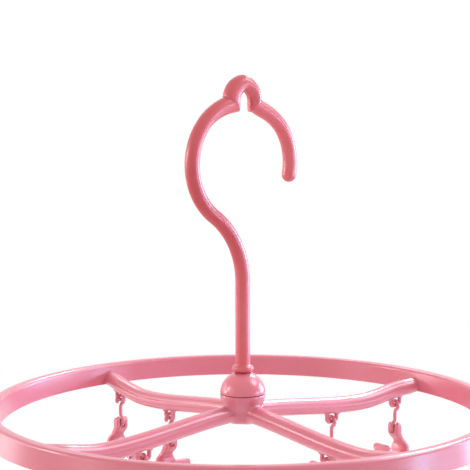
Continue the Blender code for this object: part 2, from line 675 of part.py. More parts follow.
def build():
    for old in list(bpy.data.objects):
        bpy.data.objects.remove(old)
    hook_pink = material("hook_pink", (0.83, 0.23, 0.28), 0.3)
    cap_pink = material("cap_pink", (0.85, 0.27, 0.33), 0.25)
    frame_pink = material("frame_pink", (0.85, 0.27, 0.36), 0.3)
    link_pink = material("link_pink", (0.85, 0.3, 0.38), 0.35)
    back_pink = material("clip_back_pink", (0.87, 0.33, 0.41), 0.35)
    lever_pink = material("clip_lever_pink", (0.88, 0.36, 0.44), 0.35)
    steel = material("spring_steel", (0.72, 0.73, 0.74), 0.25, metallic=1.0)
    placed("hook", hook_mesh(), hook_pink)
    swivel = placed("rack_swivel", None)
    placed("hub_cap", hub_cap_mesh(), cap_pink, parent=swivel)
    placed("frame", frame_mesh(), frame_pink, parent=swivel)
    link = link_mesh()
    back = clip_back_mesh()
    lever = clip_lever_mesh()
    band = band_mesh()
    back.transform(Matrix.Translation((-EYE_SHIFT, 0, -EYE_HEIGHT)))
    places = [(arm_turn(number), radius) for number in range(ARM_COUNT) for radius in clip_radii()]
    for tag, (angle, radius) in enumerate(places, start=1):
        bar = Matrix.Rotation(angle, 3, "Z") @ bail_bar_point(radius)
        hung = placed(f"link_{tag}", link, link_pink, parent=swivel, location=bar, turn=angle)
        clip = placed(f"clip_back_{tag}", back, back_pink, parent=hung, location=(0, 0, -LINK_LENGTH))
        fulcrum = (-EYE_SHIFT, 0, -EYE_HEIGHT)
        placed(f"clip_lever_{tag}", lever, lever_pink, parent=clip, location=fulcrum)
        placed(f"clip_spring_{tag}", band, steel, parent=clip, location=fulcrum)


build()
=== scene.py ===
"""The looks of the clip drying rack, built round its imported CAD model."""

import math

import bmesh
import bpy
import numpy as np
from mathutils import Matrix, Quaternion, Vector


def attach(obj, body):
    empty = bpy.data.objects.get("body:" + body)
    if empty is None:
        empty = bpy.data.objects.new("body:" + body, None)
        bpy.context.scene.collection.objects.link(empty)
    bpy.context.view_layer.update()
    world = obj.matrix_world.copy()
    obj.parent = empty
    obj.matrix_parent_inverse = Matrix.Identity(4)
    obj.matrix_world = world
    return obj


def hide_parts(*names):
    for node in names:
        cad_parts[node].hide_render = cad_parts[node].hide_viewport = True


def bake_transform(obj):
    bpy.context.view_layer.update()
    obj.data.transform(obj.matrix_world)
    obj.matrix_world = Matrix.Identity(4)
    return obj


MM = 0.001
scene = bpy.context.scene
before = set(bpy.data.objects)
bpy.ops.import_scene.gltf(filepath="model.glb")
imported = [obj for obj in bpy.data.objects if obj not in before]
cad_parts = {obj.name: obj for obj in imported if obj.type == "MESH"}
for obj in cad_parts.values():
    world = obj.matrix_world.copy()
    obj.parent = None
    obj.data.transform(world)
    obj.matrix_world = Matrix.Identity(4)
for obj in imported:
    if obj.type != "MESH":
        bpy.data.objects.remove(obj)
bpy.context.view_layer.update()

# Sizes in millimetres, the same as the CAD model's
SEAT_GAP = 0.3
RUN_GAP = 0.35
ROD_R = 3.7
HOOK_R = 31.1
HOOK_CENTRE_Z = -27.4
RETURN_R = 41.0
TIP_ANGLE = math.radians(-12)
LEG_X = 7.2
NOTCH_HALF = LEG_X - ROD_R
BEAD_R, BEAD_HEIGHT = 5.5, 3.5
SHANK_R, HEAD_THICKNESS = 3.5, 3.0
RIM_TOP = -147.0
BALL_Z, BALL_R = RIM_TOP + 3.4, 11.5
BALL_WALL, SPIGOT_WALL, SPIGOT_LENGTH = 2.2, 1.5, 2.8
BORE_R = BALL_R - BALL_WALL
CAVITY_R = BORE_R - SEAT_GAP - SPIGOT_WALL
BEAD_FOOT = BALL_Z + math.sqrt(BALL_R**2 - (SHANK_R + RUN_GAP) ** 2) + RUN_GAP
CAVITY_TOP = BALL_Z + CAVITY_R - BALL_WALL
HEAD_TOP = CAVITY_TOP - SEAT_GAP
HEAD_R = CAVITY_R - 2 * RUN_GAP
SPIGOT_STEP = BALL_Z - SPIGOT_LENGTH - SEAT_GAP
CAVITY_FLOOR = SPIGOT_STEP - 1.5
RIM_R, RIM_HEIGHT, CROWN, FOOT, CORNER_R, WALL, ROOF = 126.6, 11.2, 6.4, 8.8, 2.2, 1.5, 1.8
ARM_R = 4.4
ARM_LOW = RIM_TOP - 8.5 - ARM_R
ARM_RISE, SAG_RUN, BOW, BOW_RUN = 4.4, 38.0, 2.2, 18.0
ARM_RIM_Z = ARM_LOW + ARM_RISE
ARM_HUB_Z = CAVITY_FLOOR - 0.5 - ARM_R
SKIRT_R, FOOT_R = 8.0, 2.5
HUB_BOTTOM = ARM_HUB_Z - ARM_R - 0.8
BAIL_R, BAIL_GAP, BAIL_DROP, BAIL_CORNER = 1.1, 4.6, 4.3, 1.8
WIRE_R, LINK_BEND, LINK_LENGTH, LINK_TIP = 1.0, 2.6, 12.0, math.radians(-20)
EYE_HEIGHT, EYE_SHIFT, EYE_BAR_R, LUG_R = 31.0, -0.3, 1.1, 1.9
CLIP_INSET, CLIP_SPACING = 12.5, 48.0
JAW_LENGTH, JAW_GAP, CLIP_WIDTH, TIP_WIDTH = 31.0, 0.3, 12.5, 10.5
JAW_TIP, JAW_ROOT = 2.4, 4.0
TOOTH_PITCH, TOOTH_DEPTH, TOOTH_COUNT = 2.6, 0.6, 3
POCKET_TOP, POCKET_BOTTOM, POCKET_DEPTH = -8.5, -19.5, 1.5
FACE, FACE_HALF, RIDGE_R = 0.9, 3.2, 1.6
HANDLE, HANDLE_CORNER = 2.4, 3.2
LEVER_HEIGHT, LEVER_LEAN = 22.5, math.radians(24)
BACK_HEIGHT, BACK_LEAN = 21.0, math.radians(8)
BAND_WIDTH, BAND_THICK, LOOP_R, LOOP_Z, GRIP_DROP, GRIP_LENGTH, FLARE = 5.0, 0.7, 6.5, 3.0, 5.0, 3.5, 1.0
WINDOW_TOP, WINDOW_HEIGHT, WINDOW_WIDTH = 11.05, 6.8, 5.8

# Details that the CAD model has plainer or leaves out, and those fitted to the photo since
ARCH_RISE, LEG_SUNK = 2.5, 2
CREST_X, CREST_R, CREST_RISE, CREST_ROD_R = 7.45, 10.0, 0.15, 4.0
SLOT_SHIFT, SLOT_SPREAD, SLOT_FADE = 0.97, 0.04, (4.2, 10.8)
DEEPENED, DEEPENED_FADE, TIP_SIDE_FADE = 1.4, (12, 55), (8, 24)
LOWERED, LOWERED_START, LOWERED_END, LOWERED_RIM = 1.3, (9, 24), (26, 76), 4
MITRE_SOFT, BEAD_FILLET, CREST_FILLET, ARC_FILLET = 0.5, 0.5, 1.0, 0.05
ARM_FILLET, HUB_FILLET, ROOT_RUN = 1.5, 2.2, 21
HOOK_VOXEL, ARMS_VOXEL = 0.5, 0.62
ROOT_REACH, ROOT_FILLET, ROOT_GAP, WALL_SLOPE = 6, 1.6, 0.45, 0.133
LIFT_REACH, LIFT_RUN, LIFT = 5.0, 5.6, 2.3
EDGE_SOFT, CAP_SOFT, ROOF_CORNER, ROOF_FLARE = 0.3, 0.35, 1.0, 0.12
RIM_DEPTHS = (8.2, 5.4, 3.2)
BAIL_FLARE_REACH, BAIL_FLARE = 1.3, 0.55
EDGE_R, LIP, OVERRUN = 0.55, 1.1, 2
TOOTH_SOFT, CREASE, RIDGE_REACH, RIDGE_EDGE = 0.12, 0.05, 2.2, 2.6
NOSE_HEIGHT, NOSE_DEPTH, NOSE_NARROWED, NOSE_RUN = 1.3, 0.75, 1.2, 0.8
RIB_COUNT, RIB_PITCH, RIB_RISE, RIB_INSET = 6, 1.75, 0.42, 2.6
GUIDE_R, GUIDE_Y, GUIDE_SUNK, GUIDE_BOTTOM, GUIDE_TOP = 0.55, 3.4, 0.08, -10.4, -0.6
NECK, NECK_RUN, WINDOW_CORNER, SLOT_HALF, EYE_BAR_HALF = 7.4, 5.6, 0.9, 1.7, 2.7
WINDOW_REACH, SLOT_REACH = 30, 12
BACK_RIB_TOP, NECK_TOP = BACK_HEIGHT - 1.0, EYE_HEIGHT - 3.0
BAND_EDGE_R = 0.22
FLOOR_Z, FLOOR_HALF = -330, 4000.0


# Shapes

def made(name, points, faces, smooth_angle=40):
    """A mesh object from points in millimetres."""
    mesh = bpy.data.meshes.new(name)
    mesh.from_pydata([tuple(float(c) * MM for c in p) for p in points], [], faces)
    mesh.validate()
    mesh.shade_smooth()
    mesh.set_sharp_from_angle(angle=math.radians(smooth_angle))
    thing = bpy.data.objects.new(name, mesh)
    scene.collection.objects.link(thing)
    return thing


def outward(thing):
    """Turns the faces' normals outwards."""
    bm = bmesh.new()
    bm.from_mesh(thing.data)
    bmesh.ops.recalc_face_normals(bm, faces=bm.faces)
    bm.to_mesh(thing.data)
    bm.free()
    return thing


def resharpened(thing, angle):
    thing.data.shade_smooth()
    thing.data.set_sharp_from_angle(angle=math.radians(angle))
    return thing


def ease(share):
    return share * share * (3 - 2 * share)


def arc(centre, radius, start, end, steps):
    angles = np.linspace(start, end, steps + 1)
    return [(centre[0] + radius * math.cos(a), centre[1] + radius * math.sin(a)) for a in angles]


def round_rectangle(left, right, low, high, radius, steps):
    points = []
    corners = ((right - radius, high - radius), (left + radius, high - radius),
               (left + radius, low + radius), (right - radius, low + radius))
    for number, (x, y) in enumerate(corners):
        for k in range(steps + 1):
            a = (number + k / steps) * math.pi / 2
            points.append((x + radius * math.cos(a), y + radius * math.sin(a)))
    return points


def turned(name, profile, segments, smooth_angle=40):
    """The solid that a closed (radius, height) profile sweeps about Z."""
    points, rings, faces = [], [], []
    for radius, height in profile:
        if radius == 0:
            rings.append([len(points)] * segments)
            points.append((0, 0, height))
            continue
        rings.append(list(range(len(points), len(points) + segments)))
        for i in range(segments):
            a = 2 * math.pi * i / segments
            points.append((radius * math.cos(a), radius * math.sin(a), height))
    for this, following in zip(rings, rings[1:] + rings[:1]):
        for i in range(segments):
            j = (i + 1) % segments
            face = list(dict.fromkeys([this[i], this[j], following[j], following[i]]))
            if len(face) > 2:
                faces.append(face)
    return outward(made(name, points, faces, smooth_angle))


def stacked(name, rings, smooth_angle=40):
    """The closed shape through rings of points, which all have as many points."""
    points = [point for ring in rings for point in ring]
    count = len(rings[0])
    faces = [list(range(count))]
    for base in range(count, len(points), count):
        for k in range(count):
            j = (k + 1) % count
            faces.append([base - count + k, base - count + j, base + j, base + k])
    faces.append(list(range(len(points) - 1, len(points) - count - 1, -1)))
    return outward(made(name, points, faces, smooth_angle))


def swept(name, path, radii, sides):
    """A round bar along a smooth path, closed at both ends, with a radius at each point of the path."""
    path = [Vector(p) for p in path]
    last = len(path) - 1
    runs = [(path[min(i + 1, last)] - path[max(i - 1, 0)]).normalized() for i in range(len(path))]
    across = Vector((0, 1, 0)) if abs(runs[0].y) < 0.9 else Vector((1, 0, 0))
    across = (across - runs[0] * across.dot(runs[0])).normalized()
    rings = []
    for i, (place, run, radius) in enumerate(zip(path, runs, radii)):
        if i:
            across = runs[i - 1].rotation_difference(run) @ across
        up = run.cross(across)
        angles = [2 * math.pi * k / sides for k in range(sides)]
        rings.append([place + radius * (across * math.cos(a) + up * math.sin(a)) for a in angles])
    return stacked(name, rings)


def rounded(name, path, radius, sides, ends=(True, True)):
    """A round bar along a path, drawn out by a half ball at each end that ends names."""
    steps = 5
    angles = [math.radians(89 - 89 * i / steps) for i in range(steps)]
    path = [Vector(p) for p in path]
    radii = [radius] * len(path)
    if ends[0]:
        out = (path[0] - path[1]).normalized()
        path = [path[0] + out * radius * math.sin(a) for a in angles] + path
        radii = [radius * math.cos(a) for a in angles] + radii
    if ends[1]:
        out = (path[-1] - path[-2]).normalized()
        path += [path[-1] + out * radius * math.sin(a) for a in reversed(angles)]
        radii += [radius * math.cos(a) for a in reversed(angles)]
    return swept(name, path, radii, sides)


def drop(thing):
    mesh = thing.data
    bpy.data.objects.remove(thing)
    bpy.data.meshes.remove(mesh)


def merged(name, things):
    """One object from several, which are removed."""
    points, faces = [], []
    for thing in things:
        base = len(points)
        points += [tuple(v.co / MM) for v in thing.data.vertices]
        faces += [[base + i for i in face.vertices] for face in thing.data.polygons]
        drop(thing)
    return made(name, points, faces)


def settled(thing):
    """Turns the object's modifiers into its mesh."""
    graph = bpy.context.evaluated_depsgraph_get()
    mesh = bpy.data.meshes.new_from_object(thing.evaluated_get(graph))
    thing.modifiers.clear()
    thing.data = mesh
    return thing


def cut(thing, tool, operation="DIFFERENCE"):
    modifier = thing.modifiers.new("cut", "BOOLEAN")
    modifier.operation = operation
    modifier.solver = "EXACT"
    modifier.object = tool
    settled(thing)
    drop(tool)
    return thing


# Fields: signed distances in millimetres with their directions, for blending shapes into one moulding

def nearest(points, line):
    """The offset of each point from the nearest place on a line of corners, and its length."""
    a, ab = line[:-1], line[1:] - line[:-1]
    squares = (ab**2).sum(1)
    gaps = np.empty_like(points)
    batch = 4000
    for start in range(0, len(points), batch):
        part = slice(start, start + batch)
        p = points[part, None, :]
        share = np.clip(((p - a) * ab).sum(2) / squares, 0, 1)
        gap = p - (a + share[..., None] * ab)
        found = (gap**2).sum(2).argmin(1)
        gaps[part] = gap[np.arange(len(found)), found]
    return gaps, np.maximum(np.sqrt((gaps**2).sum(1)), 1e-9)


def tube_field(points, path, radius):
    gaps, length = nearest(points, np.array([tuple(p) for p in path]))
    return length - radius, gaps / length[:, None]


def turned_field(points, profile):
    """For a closed (radius, height) profile that starts and ends on the axis."""
    r, z = np.hypot(points[:, 0], points[:, 1]), points[:, 2]
    gaps, length = nearest(np.stack([r, z], 1), np.array(profile))
    inside = np.zeros(len(points), dtype=bool)
    for (first_r, low), (next_r, high) in zip(profile[:-1], profile[1:]):
        if low != high:
            crosses = (low <= z) != (high <= z)
            inside ^= crosses & (first_r + (z - low) / (high - low) * (next_r - first_r) > r)
    sign = np.where(inside, -1.0, 1.0)
    flat = gaps * (sign / length)[:, None]
    spoke = points[:, :2] / np.maximum(r, 1e-9)[:, None]
    return sign * length, np.concatenate([spoke * flat[:, :1], flat[:, 1:]], 1)


def mixed_fields(first, second, share):
    """The second field where share is 0 and the first where it is 1."""
    distance = second[0] * (1 - share) + first[0] * share
    return distance, second[1] * (1 - share)[:, None] + first[1] * share[:, None]


def blended(first, second, width):
    """The smooth union of two fields, with a fillet about as wide as width."""
    share = np.clip(0.5 + 0.5 * (second[0] - first[0]) / width, 0, 1)
    distance, direction = mixed_fields(first, second, share)
    return distance - width * share * (1 - share), direction


def moulded(thing, voxel, field):
    """Remeshes joined shapes into one skin, and gives its points settled on the field's zero surface."""
    modifier = thing.modifiers.new("skin", "REMESH")
    modifier.mode = "VOXEL"
    modifier.voxel_size = voxel * MM
    mesh = settled(thing).data
    points = np.empty(len(mesh.vertices) * 3)
    mesh.vertices.foreach_get("co", points)
    points = points.reshape(-1, 3) / MM
    edges = np.empty(len(mesh.edges) * 2, dtype=np.int32)
    mesh.edges.foreach_get("vertices", edges)
    edges = edges.reshape(-1, 2)
    count = np.bincount(edges.ravel(), minlength=len(points))[:, None]
    for turn in range(3):
        if turn:
            total = np.zeros_like(points)
            np.add.at(total, edges[:, 0], points[edges[:, 1]])
            np.add.at(total, edges[:, 1], points[edges[:, 0]])
            points += 0.5 * (total / count - points)
        for _ in range(2):
            distance, direction = field(points)
            points -= direction * (distance / np.maximum((direction**2).sum(1), 0.3))[:, None]
    return points


def put_points(thing, points):
    thing.data.vertices.foreach_set("co", (points * MM).ravel())
    thing.data.update()
    thing.data.shade_smooth()
    return thing


# The hook

LEG_FOOT = math.sqrt(HOOK_R**2 - LEG_X**2)


def return_bend(loop, bend, steps):
    """Where a loop round the origin meets its return bend, as an angle, and the bend from there on."""
    low = math.sqrt(loop**2 + 2 * loop * bend)
    start = math.atan2(low, bend)
    return math.pi + start, arc((-bend, -low), bend, start, 0, steps)


def hook_paths():
    """The hook's far arc, its notch's arch, the arch's pointed crest, and its near arc with the stem."""
    over = math.acos(NOTCH_HALF / HOOK_R)
    far = arc((0, 0), HOOK_R, TIP_ANGLE, over, 54)
    arch = arc((0, LEG_FOOT + ARCH_RISE), LEG_X, 0, math.pi, 40)
    inner = [(LEG_X, LEG_FOOT - LEG_SUNK), *arch, (-LEG_X, LEG_FOOT - LEG_SUNK)]
    centre = (CREST_X - CREST_R, LEG_FOOT + CREST_RISE)
    half = arc(centre, CREST_R, 0, math.acos(-centre[0] / CREST_R), 24)
    crest = half + [(-x, z) for x, z in reversed(half[:-1])]
    meeting, bend = return_bend(HOOK_R, RETURN_R, 24)
    near = arc((0, 0), HOOK_R, math.pi - over, meeting, 76)[:-1] + bend
    near.append((0, BEAD_FOOT + BEAD_HEIGHT / 2 - HOOK_CENTRE_Z))
    return [[(x, 0, HOOK_CENTRE_Z + z) for x, z in part] for part in (far, inner, crest, near)]


def hook():
    far, inner, crest, near = hook_paths()
    edge = BEAD_HEIGHT / 2
    bead = arc((BEAD_R - edge, BEAD_FOOT + edge), edge, -math.pi / 2, math.pi / 2, 14)
    head_foot = HEAD_TOP - HEAD_THICKNESS
    foot = [
        (0, head_foot), (HEAD_R - RUN_GAP, head_foot), (HEAD_R, head_foot + RUN_GAP), (HEAD_R, HEAD_TOP),
        (SHANK_R, HEAD_TOP), (SHANK_R, BEAD_FOOT), *bead, (0, BEAD_FOOT + BEAD_HEIGHT),
    ]
    raw = [rounded(name, path, radius, 24, ends) for name, path, radius, ends in (
        ("far", far, ROD_R, (True, False)), ("inner", inner, ROD_R, (False, False)),
        ("crest", crest, CREST_ROD_R, (False, False)), ("near", near, ROD_R, (False, False)))]
    raw.append(turned("foot", foot, 48))
    across, up = -LEG_FOOT / HOOK_R, 1 + LEG_X / HOOK_R
    mitre = (across / math.hypot(across, up), up / math.hypot(across, up))

    def field(points):
        """Arcs and arch meet in a slightly rounded mitre at the legs' feet, and the bead is blended in."""
        arch = tube_field(points, inner, ROD_R)
        arch = blended(arch, tube_field(points, crest, CREST_ROD_R), CREST_FILLET)
        arcs = blended(tube_field(points, far, ROD_R), tube_field(points, near, ROD_R), ARC_FILLET)
        x, z = abs(points[:, 0]) - LEG_X, points[:, 2] - HOOK_CENTRE_Z - LEG_FOOT
        share = ease(np.clip(0.5 + (x * mitre[0] + z * mitre[1]) / MITRE_SOFT, 0, 1))
        return blended(mixed_fields(arch, arcs, share), turned_field(points, foot), BEAD_FILLET)

    thing = merged("hook_moulding", raw)
    return put_points(thing, fitted_notch(moulded(thing, HOOK_VOXEL, field)))


def faded(values, start, end):
    """0 up to start and 1 from end on, with a soft step between."""
    return ease(np.clip((values - start) / (end - start), 0, 1))


def fitted_notch(points):
    """Moves the slot a little towards the tip, deepens the arcs under it and lowers the tip's arc."""
    x, z = points[:, 0], points[:, 2] - HOOK_CENTRE_Z
    radius, angle = np.hypot(x, z), np.degrees(np.arctan2(x, z))
    upper = faded(z, HOOK_R / 2, HOOK_R * 0.7)
    reach = np.hypot(x, np.maximum(z - LEG_FOOT - ARCH_RISE, 0))
    aside = SLOT_SHIFT + SLOT_SPREAD * np.clip(x, -NOTCH_HALF, NOTCH_HALF)
    aside *= (1 - faded(reach, *SLOT_FADE)) * upper
    inside = ease(np.clip((HOOK_R - radius) / ROD_R, 0, 1))
    deeper = DEEPENED * inside * (1 - faded(abs(angle), *DEEPENED_FADE)) * upper
    deeper *= 1 - 0.5 * faded(angle, *TIP_SIDE_FADE)
    lower = LOWERED * faded(angle, *LOWERED_START) * (1 - faded(angle, *LOWERED_END))
    lower *= 1 - faded(radius, HOOK_R + ROD_R, HOOK_R + ROD_R + LOWERED_RIM)
    moved = points.copy()
    moved[:, 0] += aside - deeper * x / radius
    moved[:, 2] -= deeper * z / radius + lower
    return moved


# The hub's cap

def hub_cap():
    neck = SHANK_R + RUN_GAP
    joint = BALL_Z + SEAT_GAP
    spigot = BORE_R - SEAT_GAP
    start = math.asin((SEAT_GAP + CAP_SOFT * 0.8) / BALL_R)
    sphere = arc((0, BALL_Z), BALL_R, start, math.acos((neck + CAP_SOFT) / BALL_R), 30)
    top_z = sphere[-1][1]
    corner = CAP_SOFT * 0.3
    profile = [
        (spigot, joint), (BALL_R - CAP_SOFT, joint), (BALL_R - corner, joint + corner), *sphere,
        (neck + corner, top_z - CAP_SOFT * 0.25), (neck, top_z - CAP_SOFT), (neck, CAVITY_TOP),
        (CAVITY_R, CAVITY_TOP), (CAVITY_R, joint - SPIGOT_LENGTH), (spigot, joint - SPIGOT_LENGTH),
    ]
    return turned("hub_cap_shell", profile, 128)


# The rim, the arms and the hub's lower half

def half_width(depth):
    share = (depth - CORNER_R) / (RIM_HEIGHT - CORNER_R)
    return (CROWN + (FOOT - CROWN) * share) / 2


WALL_RADIUS = RIM_R - half_width(RIM_TOP - ARM_RIM_Z)


def arm_point(radius):
    """The arm's axis at a radius: it sags and bows between the hub and the rim."""
    low, full = WALL_RADIUS - SAG_RUN, WALL_RADIUS - BOW_RUN
    if radius > low:
        rise = ARM_RISE * ease((radius - low) / SAG_RUN)
    else:
        rise = (ARM_HUB_Z - ARM_LOW) * ease(1 - radius / low)
    bow = BOW * ease((WALL_RADIUS - radius) / BOW_RUN if radius > full else radius / full)
    return Vector((radius, bow, ARM_LOW + rise))


def bar_point(radius):
    return arm_point(radius) - Vector((0, 0, ARM_R + BAIL_DROP))


def rim():
    """The rim's channel, from its outer wall's foot over the crown and back along its hollow side."""
    inner, corner = CROWN / 2 - CORNER_R, EDGE_SOFT * 0.3
    outer_wall = [(FOOT / 2 - EDGE_SOFT, -RIM_HEIGHT), (FOOT / 2 - corner, -RIM_HEIGHT + corner),
                  (FOOT / 2, -RIM_HEIGHT + EDGE_SOFT), *((half_width(d), -d) for d in RIM_DEPTHS)]
    inner_wall = [(-x, z) for x, z in reversed(outer_wall)]
    crown = arc((inner, -CORNER_R), CORNER_R, 0, math.pi / 2, 9)
    crown += arc((-inner, -CORNER_R), CORNER_R, math.pi / 2, math.pi, 9)
    side = CROWN / 2 - WALL
    fold = ROOF_CORNER / 4
    hollow = [(FOOT / 2 - WALL, -RIM_HEIGHT), (side + ROOF_FLARE, -ROOF - ROOF_CORNER),
              (side - fold, -ROOF - fold), (side - ROOF_CORNER, -ROOF)]
    outline = outer_wall + crown + inner_wall + [(-x, z) for x, z in hollow] + hollow[::-1]
    return turned("rim_channel", [(RIM_R + x, RIM_TOP + z) for x, z in outline], 320, 30)


def flared_roots(points):
    """Flares each arm into the rim's wall, and rounds its underside up to the rim's foot."""
    for number in range(4):
        cos, sin = math.cos(number * math.pi / 2), math.sin(number * math.pi / 2)
        along = points[:, 0] * cos + points[:, 1] * sin
        aside = -points[:, 0] * sin + points[:, 1] * cos
        height = points[:, 2] - ARM_RIM_Z
        gap = np.clip(WALL_RADIUS + WALL_SLOPE * height - along, 0, None) + ROOT_GAP
        round_off = np.sqrt(np.maximum(ROOT_FILLET**2 - (ROOT_FILLET - gap) ** 2, 0))
        grow = np.where(gap < ROOT_FILLET, ROOT_FILLET - round_off, 0)
        size = np.maximum(np.hypot(aside, height), 1e-6)
        aside, height = aside + grow * aside / size, height + grow * height / size
        share = np.clip((along - (WALL_RADIUS - LIFT_REACH)) / LIFT_RUN, 0, 1)
        lift = (1 - np.sqrt(1 - np.minimum(share, 0.999) ** 2)) * LIFT
        height = height + lift * np.clip(-height / ARM_R, 0, 1) ** 2
        new = np.stack([along * cos - aside * sin, along * sin + aside * cos, height + ARM_RIM_Z], 1)
        points = np.where((along > WALL_RADIUS - ROOT_REACH)[:, None], new, points)
    return points


def arms():
    """The four arms and the hub's lower half, blended, with a hollow for the hook's head."""
    skirt = SKIRT_R - FOOT_R
    radii = [*np.linspace(skirt, WALL_RADIUS - (ROOT_RUN + 1), 60)]
    radii += [*np.linspace(WALL_RADIUS - ROOT_RUN, WALL_RADIUS, 30)]
    first = [arm_point(float(radius)) for radius in radii]
    first.append(Vector((WALL_RADIUS + WALL / 2, 0, ARM_RIM_Z)))
    turns = [Matrix.Rotation(number * math.pi / 2, 3, "Z") for number in range(4)]
    paths = [[turn @ p for p in first] for turn in turns]
    cup = [
        (0, BALL_Z), (BALL_R - EDGE_SOFT, BALL_Z),
        *arc((0, BALL_Z), BALL_R, -EDGE_SOFT / BALL_R, -math.acos(SKIRT_R / BALL_R), 20),
        *reversed(arc((skirt, HUB_BOTTOM + FOOT_R), FOOT_R, -math.pi / 2, 0, 8)), (0, HUB_BOTTOM),
    ]
    raw = [swept(f"arm_{number}", path, [ARM_R] * len(path), 28) for number, path in enumerate(paths)]
    raw.append(turned("cup", cup, 96))

    def field(points):
        whole = tube_field(points, paths[0], ARM_R)
        for path in paths[1:]:
            whole = blended(whole, tube_field(points, path, ARM_R), ARM_FILLET)
        return blended(whole, turned_field(points, cup), HUB_FILLET)

    thing = merged("arms_moulding", raw)
    put_points(thing, flared_roots(moulded(thing, ARMS_VOXEL, field)))
    hollow = [
        (0, CAVITY_FLOOR), (CAVITY_R, CAVITY_FLOOR), (CAVITY_R, SPIGOT_STEP), (BORE_R, SPIGOT_STEP),
        (BORE_R, BALL_Z + OVERRUN), (0, BALL_Z + OVERRUN),
    ]
    return resharpened(cut(thing, turned("hollow", hollow, 96)), 50)


def clip_places():
    outer = WALL_RADIUS - CLIP_INSET
    radii = (outer, outer - CLIP_SPACING)
    return [(number * math.pi / 2, radius) for number in range(4) for radius in radii]


def bails():
    """The bails under the arms, each leg flared where it leaves its arm."""
    parts = []
    half = BAIL_GAP / 2 + BAIL_R
    for angle, radius in clip_places():
        bar = bar_point(radius)
        corner = arc((half - BAIL_CORNER, bar.z + BAIL_CORNER), BAIL_CORNER, -math.pi / 2, 0, 8)
        legs = []
        for side in (-1, 1):
            top = arm_point(radius + side * half).z - ARM_R * 0.6
            steps = np.linspace(bar.z + BAIL_CORNER, top, 12)[1:]
            legs.append([(radius + side * half, bar.y, float(z)) for z in steps])
        path = legs[0][::-1] + [(radius - x, bar.y, z) for x, z in reversed(corner)]
        path += [(radius + x, bar.y, z) for x, z in corner] + legs[1]
        radii = []
        for x, _, z in path:
            gap = max(arm_point(x).z - ARM_R - z, 0.0)
            radii.append(BAIL_R + max(BAIL_FLARE_REACH - gap, 0) ** 2 * BAIL_FLARE)
        turn = Matrix.Rotation(angle, 3, "Z")
        parts.append(swept("bail", [turn @ Vector(p) for p in path], radii, 16))
    return merged("bails_moulding", parts)


# Links

def link_shape():
    """A wire with a loop at each end, a quarter turn apart."""
    loops = []
    for bar_radius in (BAIL_R, EYE_BAR_R):
        loop = bar_radius + RUN_GAP + WIRE_R
        meeting, bend = return_bend(loop, LINK_BEND, 8)
        loops.append(arc((0, 0), loop, LINK_TIP, meeting, 26)[:-1] + bend)
    path = [(0, y, z) for y, z in loops[0]]
    path += [(x, 0, -LINK_LENGTH - z) for x, z in reversed(loops[1])]
    return rounded("link_shape", path, WIRE_R, 14)


# Clips: heights are from the fulcrum, offsets from the plane where the jaws meet

def inner_face(height):
    """Offset of a half's inner face between its teeth and the fulcrum's faces."""
    gap = JAW_GAP / 2
    teeth_top = TOOTH_PITCH * (TOOTH_COUNT + 0.5) - JAW_LENGTH
    first = TOOTH_PITCH / 2 - JAW_LENGTH
    if height < first or teeth_top <= height < POCKET_BOTTOM:
        return gap
    if height < teeth_top:
        share = ((height - first) / TOOTH_PITCH) % 1
        return gap + TOOTH_DEPTH * (1 - abs(2 * share - 1))
    if height < POCKET_TOP:
        angle = math.pi * (height - POCKET_BOTTOM) / (POCKET_TOP - POCKET_BOTTOM)
        return gap + POCKET_DEPTH * math.sin(angle)
    if height < -FACE_HALF - FACE:
        return gap
    if height < -FACE_HALF:
        return gap + (FACE - gap) * (height + FACE_HALF + FACE) / FACE
    return FACE


def outer_face(height, lean):
    """Offset of a half's outer face, without its ribs."""
    gap = JAW_GAP / 2
    tip, root = gap + JAW_TIP, gap + JAW_ROOT
    if height <= POCKET_TOP:
        share = (height + JAW_LENGTH) / (POCKET_TOP + JAW_LENGTH)
        nose = max(0.0, NOSE_HEIGHT - (height + JAW_LENGTH)) / NOSE_HEIGHT
        return tip + (root - tip) * (1 - (1 - share) ** 1.6) - NOSE_DEPTH * nose**2
    foot = FACE + HANDLE / math.cos(lean)
    if height < FACE_HALF:
        return root + (foot - root) * ease((height - POCKET_TOP) / (FACE_HALF - POCKET_TOP))
    return foot + (height - FACE_HALF) * math.tan(lean)


def handle_face(height, lean):
    """Offset of a handle's inner face, which leans away from the other half."""
    return FACE + (height - FACE_HALF) * math.tan(lean)


def ribbed(height, top):
    """How far the grip ribs near a handle's top stand out."""
    last = top - RIB_INSET
    first = last - RIB_COUNT * RIB_PITCH
    if not first < height < last:
        return 0.0
    share = ((height - first) / RIB_PITCH) % 1
    return RIB_RISE * max(0.0, math.sin(math.pi * share)) ** 0.8


def dome(rest, run):
    """0 from run on, and up to 1 where rest is 0, as a quarter of a circle falls away."""
    return 1 - math.sqrt(max(0.0, 1 - (1 - rest / run) ** 2))


def jaw_width(height):
    if height >= POCKET_BOTTOM:
        return CLIP_WIDTH
    share = (height + JAW_LENGTH) / (POCKET_BOTTOM + JAW_LENGTH)
    width = TIP_WIDTH + (CLIP_WIDTH - TIP_WIDTH) * math.sin(share * math.pi / 2)
    return width - NOSE_NARROWED * max(0.0, 1 - (height + JAW_LENGTH) / NOSE_RUN) ** 2


def lever_width(height):
    rest = LEVER_HEIGHT - height
    if rest < HANDLE_CORNER:
        return CLIP_WIDTH - 2 * HANDLE_CORNER * dome(rest, HANDLE_CORNER)
    return jaw_width(height)


def back_width(height):
    """The hanging half's handle narrows to a neck."""
    start = BACK_HEIGHT - HANDLE_CORNER
    if height < start:
        return jaw_width(height)
    return CLIP_WIDTH + (NECK - CLIP_WIDTH) * ease(min(1.0, (height - start) / NECK_RUN))


def in_order(*groups):
    return sorted(set(round(float(v), 4) for group in groups for v in group))


